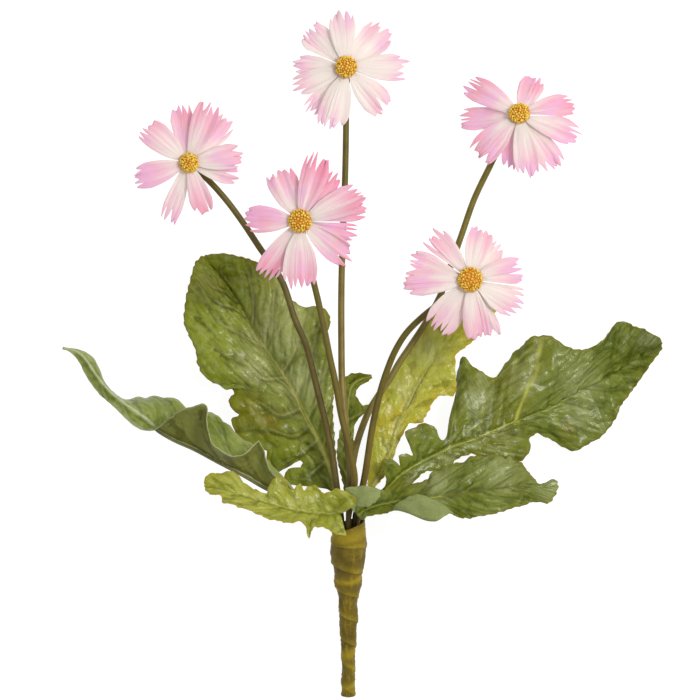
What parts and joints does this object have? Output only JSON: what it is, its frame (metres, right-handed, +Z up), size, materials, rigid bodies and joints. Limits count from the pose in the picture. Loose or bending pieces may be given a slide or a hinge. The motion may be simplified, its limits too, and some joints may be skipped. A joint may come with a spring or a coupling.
{
  "type": "artificial daisy bush",
  "caption": "Artificial daisy bush: fringed pink blooms and lobed green leaves on wired stems, bound with tape into one tapering pick.",
  "frame": {"origin": "on the surface that the bush lies on, under the middle of its bounding box", "axes": "+Y from the pick's cut end towards the blooms, +Z up from the surface, the way the blooms look"},
  "size_m": [0.298, 0.3433, 0.0816],
  "materials": {
    "petal_fabric": "matte",
    "centre_yellow": "matte, beaded",
    "stem_plastic": "satin",
    "leaf_green": "waxed satin",
    "leaf_lime": "waxed satin",
    "tape": "waxed crepe"
  },
  "bodies": {
    "root": {"taped_pick": "tape", "stem_top": "stem_plastic", "petals_top_back": "petal_fabric", "petals_top_front": "petal_fabric", "eye_top": "centre_yellow", "stem_left": "stem_plastic", "petals_left_back": "petal_fabric", "petals_left_front": "petal_fabric", "eye_left": "centre_yellow", "stem_right_top": "stem_plastic", "petals_right_top_back": "petal_fabric", "petals_right_top_front": "petal_fabric", "eye_right_top": "centre_yellow", "stem_middle": "stem_plastic", "petals_middle_back": "petal_fabric", "petals_middle_front": "petal_fabric", "eye_middle": "centre_yellow", "stem_right_low": "stem_plastic", "petals_right_low_back": "petal_fabric", "petals_right_low_front": "petal_fabric", "eye_right_low": "centre_yellow", "leaf_upper_left": "leaf_green", "leaf_far_left": "leaf_green", "leaf_low_left": "leaf_lime", "leaf_low_right": "leaf_green", "leaf_far_right": "leaf_green", "leaf_upper_right": "leaf_lime", "leaf_back": "leaf_green"}
  },
  "joints": []
}
